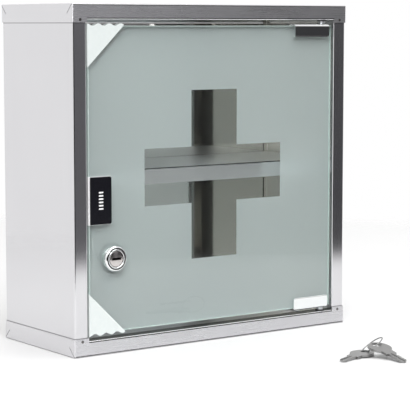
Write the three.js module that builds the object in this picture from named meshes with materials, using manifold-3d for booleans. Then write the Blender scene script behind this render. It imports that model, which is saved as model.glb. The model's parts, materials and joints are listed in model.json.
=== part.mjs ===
// Wall cabinet of folded stainless sheet with a frameless frosted glass door,
// turned by pivot clips, held by a touch latch and closed by a cam lock.
// Millimetres, +Z up, front towards -Y, origin in the middle of the base.

import * as THREE from 'three';
import { mergeVertices } from 'three/addons/utils/BufferGeometryUtils.js';
import Module from 'manifold-3d';

const wasm = await Module();
wasm.setup();

// Body of the cabinet
const cabinetWidth = 300;
const cabinetDepth = 120;
const cabinetHeight = 300;
const sheet = 0.8;
const bendRadius = 1.5;
const capRim = 16;
const railHeight = 13.5;
const railReturn = 12;
const stileWidth = 14.2;
const stileReturn = 11;
const rearFlange = 5;
const seamGap = 0.3;
const tabLength = 8.3;
const tabSeamWidth = 0.45;
const tabSeamDepth = 0.35;

// Keyhole slots in the back panel
const keyholeSpan = 200;
const keyholeDrop = 48;
const keyholeHeadRadius = 5;
const keyholeSlotRadius = 2.5;
const keyholeRise = 11;

// Shelf
const shelfTop = 156.5;
const shelfLip = 14;
const shelfFrontInset = 20;

// Glass door
const glassThick = 4;
const glassRecess = 2;
const glassSideGap = 2.3;
const glassEndGap = 5.25;
const glassArris = 0.5;
const filmThick = 0.15;
const crossSpan = 150;
const crossArm = 50;

// Pivot clips at the right corners of the glass
const clipWidth = 40.5;
const clipGrip = 10.2;
const clipWall = 1.5;
const clipBend = 2;
const clipCorner = 2.4;
const clipCrown = 3;
const clipEdge = 1;
const clipInset = 4.1;
const linerThick = 0.45;
const linerBend = 0.8;
const padThick = 1.2;
const padMargin = 2.5;
const padCorner = 1;
const padClearance = 0.3;
const grubRadius = 1.7;
const grubLength = 2.9;
const grubSocketRadius = 1;
const grubSocketDepth = 1.3;
const grubSpan = 24;
const pinInset = 9.5;
const pinRadius = 2;
const pinReach = 3;
const pinShoulderRadius = 3.2;
const pinSpigotRadius = 1.5;
const bushWall = 0.7;
const bushFlangeRadius = 4.3;
const bushFlangeThick = 1;
const bushBarrel = 3.4;
const bushLip = 0.5;
const runningClearance = 0.3;

// Push plate on the left edge of the glass
const pushWidth = 23;
const pushHeight = 41.5;
const pushZ = 133.25;
const pushWall = 0.8;
const pushBend = 1;
const pushCorner = 2;
const pushBorder = 0.4;
const pushFoldBorder = 1.1;
const pushFaceThick = 1;
const pushFaceEdge = 0.3;
const strikeLength = 19;

// Corner guards at the left corners of the glass
const guardLeg = 37;
const guardWall = 1.2;
const guardCrest = 2;
const scallopPitch = 11.3;
const scallopDepth = 2.2;

// Cam lock
const lockInset = 24.5;
const lockZ = 82.5;
const bezelRadius = 11.4;
const bezelFaceRadius = 8.7;
const bezelHeight = 4.6;
const bezelRim = 0.6;
const barrelRadius = 9;
const barrelClearance = 0.6;
const plugRadius = 6.9;
const plugRecess = 0.3;
const keywayLength = 9.6;
const keywayClearance = 0.2;
const keywayDepth = 9;
const gasketThick = 0.6;
const gasketRadius = 10.8;
const washerThick = 0.8;
const washerRadius = 13.5;
const nutThick = 3.5;
const nutRadius = 13.4;
const camThick = 2;
const camHubRadius = 7.5;
const camTipRadius = 4.5;
const camReach = 29.5;
const camGap = 1.2;
const driveSize = 7;
const driveShort = 0.2;
const camScrewHeadRadius = 5;
const camScrewHead = 2.2;
const camScrewRadius = 1.8;
const camScrewLength = 8;

// Magnetic touch latch behind the push plate
const latchInset = 11;
const latchWidth = 15;
const latchHeight = 16;
const latchLength = 42;
const latchCorner = 2;
const latchFrontY = -46;
const plungerRadius = 4;
const plungerLength = 32;
const latchBoreDepth = 36;
const magnetRadius = 3;
const magnetThick = 1.5;
const magnetProud = 0.3;
const springWire = 0.7;
const springTurns = 6;
const springInset = 0.6;
const bracketDrop = 16;
const bracketLength = 30;
const bracketInset = 6;
const latchScrewRadius = 1.3;
const latchScrewHeadRadius = 2.8;
const latchScrewHead = 1.6;
const latchScrewDepth = 2.6;
const latchScrewSpan = 18;

// Two keys on a wire ring, lying in front of the cabinet
const keysX = 70;
const keysY = -190;
const keysTurn = -126;
const keyThick = 1.9;
const keyHeadRadius = 10.5;
const keyHoleRadius = 3.9;
const keyHoleOffset = 5.2;
const keyShoulderWidth = 11;
const keyShoulderEnd = 16;
const keyBladeWidth = 7;
const keyBladeEnd = 34;
const keyCutDepth = 1.5;
const keyCutShallow = 0.9;
const keyCutCount = 4;
const keyGrooveWidth = 1.6;
const keyGrooveDepth = 0.5;
const ringRadius = 11;
const ringWire = 1.1;
const ringTilt = 36;
const keyRingAngles = [16, -46];
const keyHeadings = [34, -36];

// Fineness of round forms
const bendSteps = 4;
const roundSteps = 32;
const fineSteps = 44;
const waveSteps = 30;
const cutOver = 1;

// Places worked out from the sizes above
const halfWidth = cabinetWidth / 2;
const halfDepth = cabinetDepth / 2;
const wallX = halfWidth - sheet;
const wallInnerX = wallX - sheet;
const frontY = -halfDepth;
const stileY = frontY + sheet;
const rearFlangeY = halfDepth - sheet;
const openingX = halfWidth - stileWidth;
const openingTop = cabinetHeight - railHeight;
const foldRoom = sheet + bendRadius;
const keyholeZ = cabinetHeight - keyholeDrop;
const keywayWidth = keyThick + keywayClearance;

const glassFrontY = frontY + glassRecess;
const glassBackY = glassFrontY + glassThick;
const filmBackY = glassBackY + filmThick;
const glassX = openingX - glassSideGap;
const glassTop = openingTop - glassEndGap;
const glassBottom = railHeight + glassEndGap;
const crossZ = (glassBottom + glassTop) / 2;

const clipFrontY = glassFrontY - linerThick - clipWall;
const clipBackY = filmBackY + padThick + padClearance + clipWall;
const clipTop = glassTop + linerThick + clipWall;
const clipBottom = glassTop - clipGrip;
const clipRight = glassX - clipInset;
const clipLeft = clipRight - clipWidth;
const pivotX = glassX - pinInset;
const pivotY = (clipFrontY + clipBackY) / 2;
const bushBoreRadius = pinRadius + runningClearance;
const bushRadius = bushBoreRadius + bushWall;
const bushHoleRadius = bushRadius + seamGap;
const bushFlangeZ = openingTop - bushFlangeThick;

const lockX = -glassX + lockInset;
const lockHoleRadius = barrelRadius + barrelClearance;
const bezelBaseY = glassFrontY - gasketThick;
const bezelFaceY = bezelBaseY - bezelHeight;
const plugBoreRadius = plugRadius + runningClearance;
const nutY = filmBackY + washerThick;
const camFrontY = stileY + stileReturn + camGap;
const camBackY = camFrontY + camThick;
const barrelEndY = camFrontY - runningClearance;

const strikeY = filmBackY + pushWall;
const latchX = -glassX + latchInset;
const plungerTipY = strikeY + runningClearance;
const latchBoreRadius = plungerRadius + runningClearance;
const latchBottom = pushZ - latchHeight / 2;

// Solids: closed meshes that can be joined and cut

function solid(geometry) {
  geometry.deleteAttribute('normal');
  geometry.deleteAttribute('uv');
  const merged = mergeVertices(geometry);
  const index = merged.index.array;
  const triangles = [];
  for (let i = 0; i < index.length; i += 3) {
    const [a, b, c] = [index[i], index[i + 1], index[i + 2]];
    if (a !== b && b !== c && c !== a) triangles.push(a, b, c);
  }
  return new wasm.Manifold(new wasm.Mesh({
    numProp: 3,
    vertProperties: new Float32Array(merged.attributes.position.array),
    triVerts: new Uint32Array(triangles),
  }));
}

function surface(body) {
  const mesh = body.getMesh();
  const geometry = new THREE.BufferGeometry();
  geometry.setAttribute('position', new THREE.BufferAttribute(new Float32Array(mesh.vertProperties), 3));
  geometry.setIndex(new THREE.BufferAttribute(new Uint32Array(mesh.triVerts), 1));
  geometry.computeVertexNormals();
  return geometry;
}

function extrude(shape, length, steps, bevel = 0) {
  return new THREE.ExtrudeGeometry(shape, {
    depth: length - 2 * bevel,
    curveSegments: steps,
    bevelEnabled: bevel > 0,
    bevelThickness: bevel,
    bevelSize: bevel,
    bevelOffset: -bevel,
    bevelSegments: 1,
  }).translate(0, 0, bevel);
}

// A section drawn in (y, z), run along x
function alongX(shape, x0, x1, steps = bendSteps) {
  const geometry = extrude(shape, x1 - x0, steps);
  geometry.applyMatrix4(new THREE.Matrix4().set(0, 0, 1, x0, 1, 0, 0, 0, 0, 1, 0, 0, 0, 0, 0, 1));
  return solid(geometry);
}

// An outline drawn in (x, z), run along y
function alongY(shape, y0, y1, steps = bendSteps, bevel = 0) {
  const geometry = extrude(shape, y1 - y0, steps, bevel);
  return solid(geometry.rotateX(Math.PI / 2).translate(0, y1, 0));
}

// An outline drawn in (x, y), run along z
function alongZ(shape, z0, z1, steps = bendSteps) {
  return solid(extrude(shape, z1 - z0, steps).translate(0, 0, z0));
}

function block(x0, x1, y0, y1, z0, z1) {
  const geometry = new THREE.BoxGeometry(x1 - x0, y1 - y0, z1 - z0);
  return solid(geometry.translate((x0 + x1) / 2, (y0 + y1) / 2, (z0 + z1) / 2));
}

// Turned pieces: a closed or on-axis profile of [radius, height] pairs
function turnedY(profile, steps = roundSteps) {
  return solid(new THREE.LatheGeometry(profile.map(([r, y]) => new THREE.Vector2(r, y)), steps));
}

function turnedZ(profile, steps = roundSteps) {
  const points = profile.map(([r, z]) => new THREE.Vector2(r, z));
  return solid(new THREE.LatheGeometry(points, steps).rotateX(Math.PI / 2));
}

function rodY(radius, y0, y1, steps = roundSteps) {
  return turnedY([[0, y0], [radius, y0], [radius, y1], [0, y1]], steps);
}

function rodZ(radius, x, y, z0, z1) {
  const geometry = new THREE.CylinderGeometry(radius, radius, z1 - z0, roundSteps);
  return solid(geometry.rotateX(Math.PI / 2).translate(x, y, (z0 + z1) / 2));
}

// Outlines

function polygon(points) {
  return new THREE.Shape(points.map(([u, v]) => new THREE.Vector2(u, v)));
}

// A rectangle with its own radius at each corner, from bottom left, anticlockwise
function roundedRect(u0, u1, v0, v1, [r0, r1, r2, r3]) {
  const shape = new THREE.Shape();
  const quarter = Math.PI / 2;
  const corner = (u, v, radius, start) => {
    if (radius > 0) shape.absarc(u, v, radius, start, start + quarter);
    else shape.lineTo(u, v);
  };
  shape.moveTo(u0 + r0, v0);
  corner(u1 - r1, v0 + r1, r1, -quarter);
  corner(u1 - r2, v1 - r2, r2, 0);
  corner(u0 + r3, v1 - r3, r3, quarter);
  if (r0 > 0) shape.absarc(u0 + r0, v0 + r0, r0, 2 * quarter, 3 * quarter);
  return shape;
}

function circlePath(u, v, radius) {
  return new THREE.Path().absarc(u, v, radius, 0, 2 * Math.PI);
}

// Section of a folded strip: the outside face runs along the path and each fold turns left
function foldedStrip(path, thickness = sheet, radius = bendRadius) {
  const points = path.map(([u, v]) => new THREE.Vector2(u, v));
  const runs = points.slice(1).map((point, i) => point.clone().sub(points[i]).normalize());
  const left = runs.map((run) => new THREE.Vector2(-run.y, run.x));
  const last = runs.length - 1;
  const shape = new THREE.Shape();
  shape.moveTo(points[0].x, points[0].y);
  const folds = runs.slice(1).map((run, i) => {
    const centre = points[i + 1].clone().addScaledVector(runs[i], -radius).addScaledVector(left[i], radius);
    const start = Math.atan2(-left[i].y, -left[i].x);
    return { centre, start, end: start + Math.PI / 2 };
  });
  for (const { centre, start, end } of folds) shape.absarc(centre.x, centre.y, radius, start, end);
  const tip = points[last + 1];
  const tipInside = tip.clone().addScaledVector(left[last], thickness);
  const rootInside = points[0].clone().addScaledVector(left[0], thickness);
  shape.lineTo(tip.x, tip.y);
  shape.lineTo(tipInside.x, tipInside.y);
  for (const { centre, start, end } of folds.reverse()) {
    shape.absarc(centre.x, centre.y, radius - thickness, end, start, true);
  }
  shape.lineTo(rootInside.x, rootInside.y);
  return shape;
}

// A block whose upright and top edges are rounded
function roundedBlock(width, depth, z0, z1, radius) {
  const [u, v] = [width / 2, depth / 2];
  const top = [0, 0, radius, radius];
  const across = alongX(roundedRect(-v, v, z0, z1, top), -u, u);
  const along = alongY(roundedRect(-u, u, z0, z1, top), -v, v);
  const upright = alongZ(roundedRect(-u, u, -v, v, [radius, radius, radius, radius]), z0, z1);
  return across.intersect(along).intersect(upright);
}

// A tray folded from one sheet, open below
function foldedTray(width, depth, z0, z1) {
  const outside = roundedBlock(width, depth, z0, z1, bendRadius);
  const room = roundedBlock(width - 2 * sheet, depth - 2 * sheet, z0 - sheet, z1 - sheet, bendRadius - sheet);
  return outside.subtract(room);
}

// Finishes

const stainless = { color: 0xb9babd, roughness: 0.35, metalness: 1 };
const chrome = { color: 0xd8dadc, roughness: 0.12, metalness: 1 };
const zinc = { color: 0xb4b8bc, roughness: 0.4, metalness: 1 };
const glass = { color: 0xa9b9b5, roughness: 0.05, metalness: 0 };
const frost = { color: 0xa0acac, roughness: 0.9, metalness: 0 };
const whitePlastic = { color: 0xebf0ee, roughness: 0.45, metalness: 0 };
const blackPlastic = { color: 0x191923, roughness: 0.35, metalness: 0 };
const nylon = { color: 0xe4e2da, roughness: 0.5, metalness: 0 };
const rubber = { color: 0x26272a, roughness: 0.8, metalness: 0 };
const magnetSteel = { color: 0x8a8c90, roughness: 0.3, metalness: 1 };
const nickel = { color: 0xa6a6a8, roughness: 0.35, metalness: 1 };

function piece(name, body, finish) {
  const mesh = new THREE.Mesh(surface(body), new THREE.MeshStandardMaterial(finish));
  mesh.name = name;
  return mesh;
}

// Cabinet body

// Slanted seams of the corner tabs, cut into the side faces of the rim
function tabSeams() {
  const half = tabSeamWidth / Math.SQRT2;
  const seams = [-1, 1].flatMap((end) => {
    const [y, z] = [end * halfDepth, cabinetHeight];
    const [tipY, tipZ] = [y - end * tabLength, z - tabLength];
    const corners = [[y, z + half], [tipY - end * half, tipZ], [tipY, tipZ - half], [y + end * half, z]];
    const seam = polygon(end > 0 ? corners : corners.reverse());
    return [-halfWidth, halfWidth].map((x) => alongX(seam, x - tabSeamDepth, x + tabSeamDepth));
  });
  return seams.reduce((all, seam) => all.add(seam));
}

// Top cap; the bottom one is the same piece turned over
function cap(name) {
  const rimEnd = cabinetHeight - capRim;
  const railX = openingX - seamGap;
  const foldTop = (openingTop + cabinetHeight) / 2;
  const cutRoom = block(-railX, railX, frontY - sheet, stileY + sheet / 2, rimEnd - sheet, foldTop);
  const fold = foldedStrip([[frontY, foldTop], [frontY, openingTop], [frontY + railReturn, openingTop]]);
  const pivotHole = rodZ(bushHoleRadius, pivotX, pivotY, openingTop - sheet, openingTop + 2 * sheet);
  const body = foldedTray(cabinetWidth, cabinetDepth, rimEnd, cabinetHeight)
    .subtract(cutRoom)
    .add(alongX(fold, -railX, railX))
    .subtract(pivotHole)
    .subtract(tabSeams());
  return piece(name, body, stainless);
}

// Left side: wall, stile with its return, and rear flange, folded from one sheet
function sidePanel(name) {
  const section = foldedStrip([
    [-wallX + rearFlange, rearFlangeY],
    [-wallX, rearFlangeY],
    [-wallX, stileY],
    [-openingX, stileY],
    [-openingX, stileY + stileReturn],
  ]);
  return piece(name, alongZ(section, foldRoom, cabinetHeight - foldRoom), stainless);
}

function keyhole(x) {
  const path = new THREE.Path();
  const half = Math.asin(keyholeSlotRadius / keyholeHeadRadius);
  const quarter = Math.PI / 2;
  path.absarc(x, keyholeZ, keyholeHeadRadius, quarter + half, quarter - half + 2 * Math.PI);
  path.absarc(x, keyholeZ + keyholeRise, keyholeSlotRadius, 0, Math.PI);
  path.closePath();
  return path;
}

function backPanel() {
  const edge = wallX - bendRadius;
  const end = capRim + seamGap;
  const shape = roundedRect(-edge, edge, end, cabinetHeight - end, [0, 0, 0, 0]);
  shape.holes.push(keyhole(-keyholeSpan / 2), keyhole(keyholeSpan / 2));
  return piece('back_panel', alongY(shape, rearFlangeY, halfDepth, roundSteps / 2), stainless);
}

function shelf() {
  const front = frontY + shelfFrontInset;
  const rear = rearFlangeY - sheet;
  const tray = foldedTray(2 * wallInnerX, rear - front, shelfTop - shelfLip, shelfTop);
  const mesh = piece('shelf', tray, stainless);
  mesh.position.y = (front + rear) / 2;
  return mesh;
}

// Nylon bush clipped into the rail for the door's pivot
function pivotBush(name) {
  const lipZ = openingTop + sheet + seamGap;
  const end = openingTop + bushBarrel;
  const body = turnedZ([
    [bushBoreRadius, bushFlangeZ],
    [bushFlangeRadius, bushFlangeZ],
    [bushFlangeRadius, openingTop],
    [bushRadius, openingTop],
    [bushRadius, lipZ],
    [bushRadius + bushLip, lipZ],
    [bushRadius, end],
    [bushBoreRadius, end],
    [bushBoreRadius, bushFlangeZ],
  ]);
  const mesh = piece(name, body, nylon);
  mesh.position.set(pivotX, pivotY, 0);
  return mesh;
}

// Glass door

function doorGlass() {
  const shape = roundedRect(-glassX, glassX, glassBottom, glassTop, [0, 0, 0, 0]);
  shape.holes.push(circlePath(lockX, lockZ, lockHoleRadius));
  return piece('door_glass', alongY(shape, glassFrontY, glassBackY, fineSteps / 2, glassArris), glass);
}

// Frosting over the back of the pane, left clear in the shape of a cross
function frostFilm() {
  const edge = glassX - glassArris;
  const [span, arm] = [crossSpan / 2, crossArm / 2];
  const shape = roundedRect(-edge, edge, glassBottom + glassArris, glassTop - glassArris, [0, 0, 0, 0]);
  const quadrant = [[arm, span], [arm, arm], [span, arm]];
  const corners = [0, 1, 2, 3].flatMap((turn) => quadrant.map(([u, v]) => {
    const point = new THREE.Vector2(u, v).rotateAround(new THREE.Vector2(), -turn * Math.PI / 2);
    return point.add(new THREE.Vector2(0, crossZ));
  }));
  shape.holes.push(new THREE.Path(corners));
  shape.holes.push(circlePath(lockX, lockZ, lockHoleRadius + glassArris));
  return piece('frost_film', alongY(shape, glassBackY, filmBackY, fineSteps / 2), frost);
}

// One pivot clip with its liner, pressure pad, two grub screws and pivot pin
function pivotClip(place) {
  const clipInner = glassTop + linerThick;
  const spigotFit = pinSpigotRadius + runningClearance;
  const padX = [clipLeft + padMargin, clipRight - padMargin];
  const padZ = [clipBottom + padMargin / 2, glassTop - glassArris];
  const padBackY = filmBackY + padThick;
  const grubZ = (padZ[0] + padZ[1]) / 2;
  const grubX = [-1, 1].map((side) => (clipLeft + clipRight) / 2 + side * grubSpan / 2);
  const corners = [clipCorner, clipCorner, clipCorner, clipCorner];

  const section = foldedStrip([
    [clipBackY, clipBottom], [clipBackY, clipTop], [clipFrontY, clipTop], [clipFrontY, clipBottom],
  ], clipWall, clipBend);
  const outline = roundedRect(clipLeft, clipRight, clipBottom, clipTop, corners);
  const rounds = [clipEdge, 0, clipBend, clipCrown];
  const rounding = roundedRect(clipFrontY, clipBackY, clipBottom, clipTop, rounds);
  let clip = alongX(section, clipLeft, clipRight)
    .intersect(alongX(rounding, clipLeft, clipRight))
    .intersect(alongY(outline, clipFrontY - clipWall, clipBackY + clipWall))
    .subtract(rodZ(spigotFit, pivotX, pivotY, clipInner - clipWall, clipTop + clipWall));

  const linerSection = foldedStrip([
    [filmBackY + padThick, clipInner],
    [glassFrontY - linerThick, clipInner],
    [glassFrontY - linerThick, clipBottom + padMargin / 2],
  ], linerThick, linerBend);
  const liner = alongX(linerSection, padX[0], padX[1]);
  const padCorners = [padCorner, padCorner, padCorner, padCorner];
  const pad = alongY(roundedRect(padX[0], padX[1], padZ[0], padZ[1], padCorners), filmBackY, padBackY);

  const grubEndY = padBackY + grubLength;
  const socket = rodY(grubSocketRadius, grubEndY - grubSocketDepth, grubEndY + cutOver, 6);
  const grub = rodY(grubRadius, padBackY, grubEndY, roundSteps / 2).subtract(socket);
  const grubHole = surface(rodY(grubRadius + runningClearance, padBackY, clipBackY + clipWall));
  const grubs = grubX.map((x, i) => {
    clip = clip.subtract(solid(grubHole.clone().translate(x, 0, grubZ)));
    const mesh = piece(`${place}_grub_screw_${i + 1}`, grub, zinc);
    mesh.position.set(x, 0, grubZ);
    return mesh;
  });

  const pinTop = openingTop + pinReach;
  const pin = piece(`${place}_pivot_pin`, turnedZ([
    [0, clipInner],
    [pinSpigotRadius, clipInner],
    [pinSpigotRadius, clipTop],
    [pinShoulderRadius, clipTop],
    [pinShoulderRadius, bushFlangeZ - runningClearance],
    [pinRadius, bushFlangeZ - runningClearance],
    [pinRadius, pinTop - bushLip],
    [pinRadius - bushLip, pinTop],
    [0, pinTop],
  ]), zinc);
  pin.position.set(pivotX, pivotY, 0);

  return [
    piece(`${place}_pivot_clip`, clip, chrome),
    piece(`${place}_clip_liner`, liner, rubber),
    piece(`${place}_pressure_pad`, pad, rubber),
    ...grubs,
    pin,
  ];
}

// Triangular pocket over a corner of the glass, with a scalloped end edge
function cornerGuard(name) {
  const left = -glassX - guardWall;
  const crest = glassTop + guardCrest;
  const mean = crest - scallopDepth / 2;
  const outline = [[left, crest - guardLeg]];
  for (let i = 0; i <= waveSteps; i += 1) {
    const along = guardLeg * (1 - i / waveSteps);
    outline.push([left + along, mean + (scallopDepth / 2) * Math.cos(2 * Math.PI * along / scallopPitch)]);
  }
  const back = filmBackY + guardWall;
  const pocket = block(-glassX, glassX, glassFrontY, filmBackY, glassBottom, glassTop);
  const body = alongY(polygon(outline), glassFrontY - guardWall, back).subtract(pocket);
  return piece(name, body, whitePlastic);
}

// Steel clip over the edge of the glass; its rear leg is what the magnet holds
function pushPlate() {
  const left = -glassX - pushWall;
  const right = left + pushWidth;
  const [low, high] = [pushZ - pushHeight / 2, pushZ + pushHeight / 2];
  const clipY = glassFrontY - pushWall;
  const section = foldedStrip([
    [left + strikeLength, strikeY], [left, strikeY], [left, clipY], [right, clipY],
  ], pushWall, pushBend);
  const outline = roundedRect(left, right, low, high, [0, pushCorner, pushCorner, 0]);
  const clip = alongZ(section, low, high).intersect(alongY(outline, clipY - pushWall, strikeY + pushWall));
  const inner = pushCorner - pushBorder;
  const face = roundedRect(
    left + pushFoldBorder, right - pushBorder, low + pushBorder, high - pushBorder,
    [pushFaceEdge, inner, inner, pushFaceEdge].map((radius) => radius + pushFaceEdge),
  );
  return [
    piece('push_clip', clip, stainless),
    piece('push_plate', alongY(face, clipY - pushFaceThick, clipY, bendSteps, pushFaceEdge), blackPlastic),
  ];
}

// Cam lock, turned about an axis along y

function lockHousing() {
  const skirt = bezelBaseY - bezelRim;
  const barrel = turnedY([
    [plugBoreRadius, barrelEndY],
    [barrelRadius, barrelEndY],
    [barrelRadius, bezelBaseY],
    [bezelRadius, bezelBaseY],
    [bezelRadius, skirt],
    [bezelFaceRadius, bezelFaceY + bezelRim / 2],
    [bezelFaceRadius - bezelRim / 2, bezelFaceY],
    [plugBoreRadius, bezelFaceY],
    [plugBoreRadius, barrelEndY],
  ].reverse(), fineSteps);
  const ring = (inner, outer, y0, y1) => turnedY([
    [inner, y0], [outer, y0], [outer, y1], [inner, y1], [inner, y0],
  ], fineSteps);
  const fit = barrelRadius + runningClearance;
  const hexagon = polygon([0, 1, 2, 3, 4, 5].map((i) => {
    const angle = i * Math.PI / 3;
    return [nutRadius * Math.cos(angle), nutRadius * Math.sin(angle)];
  }));
  hexagon.holes.push(circlePath(0, 0, fit));
  const group = new THREE.Group();
  group.position.set(lockX, 0, lockZ);
  group.add(
    piece('lock_barrel', barrel, chrome),
    piece('lock_gasket', ring(fit, gasketRadius, bezelBaseY, glassFrontY), rubber),
    piece('lock_washer', ring(fit, washerRadius, filmBackY, nutY), rubber),
    piece('lock_nut', alongY(hexagon, nutY, nutY + nutThick, fineSteps), zinc),
  );
  return group;
}

function lockCore() {
  const faceY = bezelFaceY + plugRecess;
  const drive = driveSize / 2;
  const screwBore = camScrewRadius + runningClearance;
  const screwTip = camBackY - camScrewLength;
  const [slotX, slotZ] = [keywayLength / 2, keywayWidth / 2];
  const keyway = block(-slotX, slotX, faceY - cutOver, faceY + keywayDepth, -slotZ, slotZ);
  const plug = rodY(plugRadius, faceY, barrelEndY, fineSteps)
    .add(block(-drive, drive, barrelEndY - camThick, camBackY - driveShort, -drive, drive))
    .subtract(keyway)
    .subtract(rodY(screwBore, screwTip - runningClearance, camBackY + cutOver));

  const lean = Math.asin((camHubRadius - camTipRadius) / camReach);
  const arm = new THREE.Shape();
  arm.absarc(0, 0, camHubRadius, -lean, Math.PI + lean);
  arm.absarc(0, -camReach, camTipRadius, Math.PI + lean, 2 * Math.PI - lean);
  const hole = drive + runningClearance;
  arm.holes.push(new THREE.Path([[-1, -1], [-1, 1], [1, 1], [1, -1]].map(
    ([u, v]) => new THREE.Vector2(u * hole, v * hole),
  )));

  const screw = turnedY([
    [0, screwTip],
    [camScrewRadius, screwTip],
    [camScrewRadius, camBackY],
    [camScrewHeadRadius, camBackY],
    [camScrewHeadRadius, camBackY + camScrewHead / 2],
    [camScrewHeadRadius / 2, camBackY + camScrewHead],
    [0, camBackY + camScrewHead],
  ]);
  const group = new THREE.Group();
  group.position.set(lockX, 0, lockZ);
  group.add(
    piece('lock_plug', plug, chrome),
    piece('lock_cam', alongY(arm, camFrontY, camBackY, roundSteps / 2), zinc),
    piece('cam_screw', screw, zinc),
  );
  return group;
}

// Touch latch: a magnet on a sprung plunger, in a housing on an angle bracket

class Helix extends THREE.Curve {
  constructor(radius, start, length, turns) {
    super();
    Object.assign(this, { radius, start, length, turns });
  }

  getPoint(t, target = new THREE.Vector3()) {
    const angle = 2 * Math.PI * this.turns * t;
    const along = this.start + this.length * t;
    return target.set(this.radius * Math.cos(angle), along, this.radius * Math.sin(angle));
  }
}

// Least gap between neighbouring turns of a wound wire, measured on points along it
function leastGap(curve, turns, wire) {
  const perTurn = 24;
  const points = curve.getPoints(perTurn * turns);
  let least = Infinity;
  points.forEach((a, i) => {
    points.slice(i + perTurn / 2).forEach((b) => {
      least = Math.min(least, a.distanceTo(b) - wire);
    });
  });
  return least;
}

function touchLatch() {
  const screwY = [-1, 1].map((side) => latchFrontY + latchLength / 2 + side * latchScrewSpan / 2);
  const bracketY = latchFrontY + bracketInset;
  const screwFit = latchScrewRadius + runningClearance;
  const screwTop = latchBottom + latchScrewDepth;

  const angle = foldedStrip([
    [latchX + latchWidth / 2, latchBottom],
    [-wallInnerX, latchBottom],
    [-wallInnerX, latchBottom - bracketDrop],
  ]);
  let bracket = alongY(angle, bracketY, bracketY + bracketLength);
  const half = latchWidth / 2;
  const corners = [latchCorner, latchCorner, latchCorner, latchCorner];
  const body = roundedRect(latchX - half, latchX + half, latchBottom, latchBottom + latchHeight, corners);
  const bore = surface(rodY(latchBoreRadius, latchFrontY - cutOver, latchFrontY + latchBoreDepth));
  let housing = alongY(body, latchFrontY, latchFrontY + latchLength)
    .subtract(solid(bore.translate(latchX, 0, pushZ)));

  const under = latchBottom - sheet;
  const screw = turnedZ([
    [0, under - latchScrewHead],
    [latchScrewHeadRadius / 2, under - latchScrewHead],
    [latchScrewHeadRadius, under - latchScrewHead / 2],
    [latchScrewHeadRadius, under],
    [latchScrewRadius, under],
    [latchScrewRadius, screwTop],
    [0, screwTop],
  ], roundSteps / 2);
  const screws = screwY.map((y, i) => {
    const hole = rodZ(screwFit, latchX, y, under - cutOver, screwTop + runningClearance);
    bracket = bracket.subtract(hole);
    housing = housing.subtract(hole);
    const mesh = piece(`latch_screw_${i + 1}`, screw, zinc);
    mesh.position.set(latchX, y, 0);
    return mesh;
  });

  const springStart = plungerTipY + plungerLength + runningClearance + springWire / 2;
  const springEnd = latchFrontY + latchBoreDepth - runningClearance - springWire / 2;
  const springRadius = latchBoreRadius - springInset - springWire / 2;
  const helix = new Helix(springRadius, springStart, springEnd - springStart, springTurns);
  const gap = leastGap(helix, springTurns, springWire);
  console.log(`latch spring, least gap between turns: ${gap.toFixed(2)} mm`);
  const wire = polygon([0, 1, 2, 3, 4].map((i) => {
    const turn = i * 2 * Math.PI / 5;
    return [springWire / 2 * Math.cos(turn), springWire / 2 * Math.sin(turn)];
  }));
  const coil = new THREE.ExtrudeGeometry(wire, {
    steps: springTurns * 10, extrudePath: helix, bevelEnabled: false,
  });
  const spring = piece('latch_spring', solid(coil), zinc);
  spring.position.set(latchX, 0, pushZ);

  return [
    piece('latch_bracket', bracket, stainless),
    piece('latch_housing', housing, whitePlastic),
    ...screws,
    spring,
  ];
}

function latchPlunger() {
  const cup = magnetThick - magnetProud;
  const noseY = plungerTipY + magnetProud;
  const cupRadius = magnetRadius + runningClearance;
  const plunger = turnedY([
    [0, noseY + cup],
    [cupRadius, noseY + cup],
    [cupRadius, noseY],
    [plungerRadius, noseY],
    [plungerRadius, plungerTipY + plungerLength],
    [0, plungerTipY + plungerLength],
  ]);
  const group = new THREE.Group();
  group.position.set(latchX, 0, pushZ);
  group.add(
    piece('latch_plunger', plunger, whitePlastic),
    piece('latch_magnet', rodY(magnetRadius, plungerTipY, plungerTipY + magnetThick), magnetSteel),
  );
  return group;
}

// Keys

function keyBlank() {
  const [shoulder, blade] = [keyShoulderWidth / 2, keyBladeWidth / 2];
  const neck = Math.asin(shoulder / keyHeadRadius);
  const outline = new THREE.Shape();
  outline.absarc(0, 0, keyHeadRadius, neck, 2 * Math.PI - neck);
  outline.lineTo(keyShoulderEnd, -shoulder);
  outline.lineTo(keyShoulderEnd, -blade);
  outline.lineTo(keyBladeEnd - blade, -blade);
  outline.lineTo(keyBladeEnd, 0);
  outline.lineTo(keyBladeEnd - blade / 2, blade - keyCutDepth / 2);
  const cutStart = keyBladeEnd - blade;
  const pitch = (cutStart - keyShoulderEnd) / (keyCutCount + 1);
  for (let i = 0; i < keyCutCount; i += 1) {
    const cutX = cutStart - (i + 0.5) * pitch;
    const deep = i % 2 ? keyCutDepth : keyCutShallow;
    outline.lineTo(cutX + pitch / 2, blade);
    outline.lineTo(cutX, blade - deep);
  }
  outline.lineTo(keyShoulderEnd + pitch / 2, blade);
  outline.lineTo(keyShoulderEnd, blade);
  outline.lineTo(keyShoulderEnd, shoulder);
  outline.holes.push(circlePath(-keyHoleOffset, 0, keyHoleRadius));
  const groove = block(
    keyShoulderEnd, keyBladeEnd, -keyGrooveWidth, 0, keyThick / 2 - keyGrooveDepth, keyThick,
  );
  return alongZ(outline, -keyThick / 2, keyThick / 2, roundSteps / 2).subtract(groove);
}

function keyRing() {
  const rim = new THREE.TorusGeometry(ringRadius, ringWire / 2, 8, fineSteps);
  return piece('key_ring', solid(rim), nickel);
}

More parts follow.
